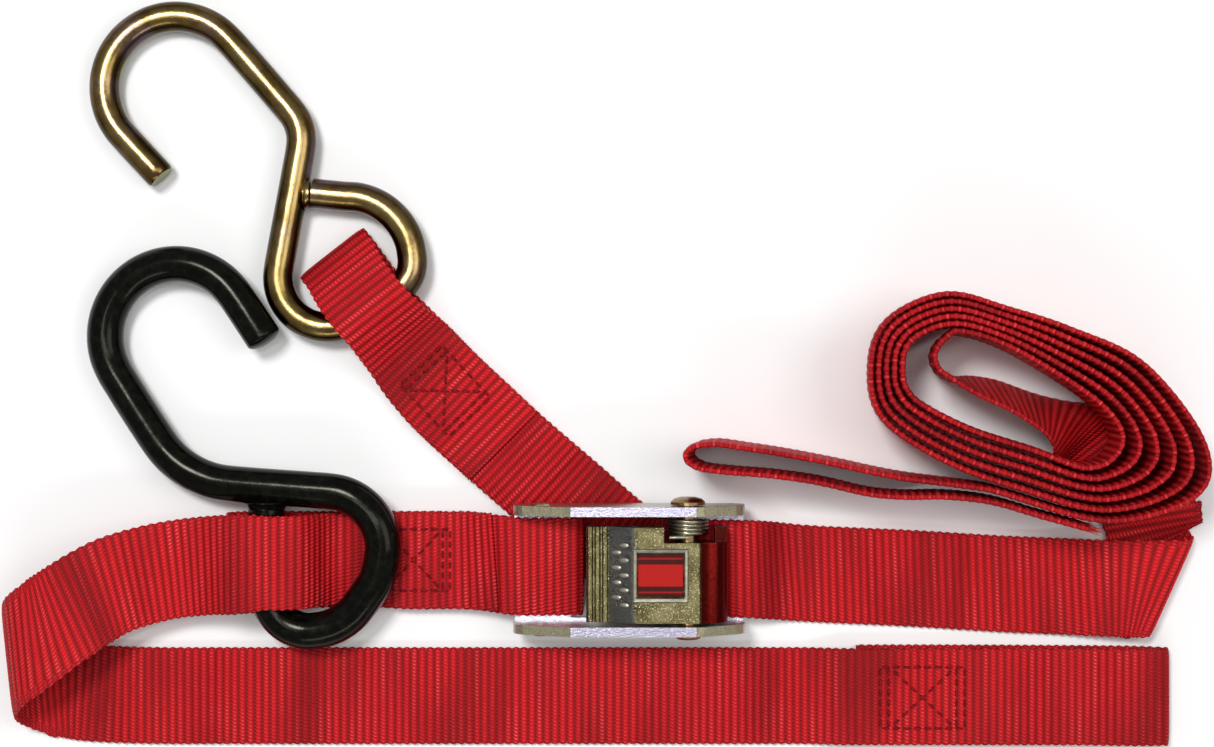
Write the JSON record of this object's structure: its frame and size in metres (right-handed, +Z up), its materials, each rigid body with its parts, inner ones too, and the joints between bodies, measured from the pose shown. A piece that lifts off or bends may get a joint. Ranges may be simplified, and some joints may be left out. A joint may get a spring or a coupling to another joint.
{
  "type": "cam buckle tie down",
  "caption": "Cam buckle tie-down strap, with a coiled webbing tail, a bare wire hook, a coated wire hook and a soft tie.",
  "frame": {"origin": "centre of the strap's outline on the surface that it lies on", "axes": "+X along the strap from the hooks to the coil, +Z up from the surface, +Y to the gold hook's side"},
  "size_m": [0.3128, 0.1943, 0.0277],
  "materials": {
    "webbing": "woven polyester, matt",
    "thread": "polyester thread",
    "yellow_zinc": "yellow chromate zinc, satin",
    "steel": "zinc plated, satin",
    "cast_zinc": "zinc die casting, plated",
    "inlay": "satin",
    "vinyl": "dipped vinyl, semi-gloss",
    "bare_wire": "bare steel"
  },
  "bodies": {
    "strap": {"main_strap": "webbing", "anchor_strap": "webbing", "soft_tie_strap": "webbing", "main_strap_stitching": "thread", "anchor_stitching": "thread", "soft_tie_stitching": "thread", "buckle_frame": "steel", "pivot_rivet": "steel", "torsion_spring": "steel"},
    "lever": {"cam_lever": "cast_zinc", "lever_inlay": "inlay"},
    "gold_hook": {"gold_hook": "yellow_zinc", "gold_hook_weld": "yellow_zinc"},
    "black_hook": {"black_hook_coating": "vinyl", "black_hook_core": "bare_wire", "black_hook_weld": "bare_wire"}
  },
  "joints": [
    {"name": "lever_hinge", "type": "hinge", "parent": "strap", "child": "lever", "pos_m": [0.02065, -0.05097, 0.0145], "axis": [0, -1, 0], "range_deg": [0, 22], "stiffness_Nm_per_rad": 0.05, "springref_deg": -20.05},
    {"name": "gold_hook_hinge", "type": "hinge", "parent": "strap", "child": "gold_hook", "pos_m": [-0.06105, 0.01698, 0.006], "axis": [0.8631, 0.5051, 0], "range_deg": [0, 60]},
    {"name": "black_hook_hinge", "type": "hinge", "parent": "strap", "child": "black_hook", "pos_m": [-0.08205, -0.04782, 0.008], "axis": [0, 0, 1], "range_deg": [0, 8]}
  ]
}
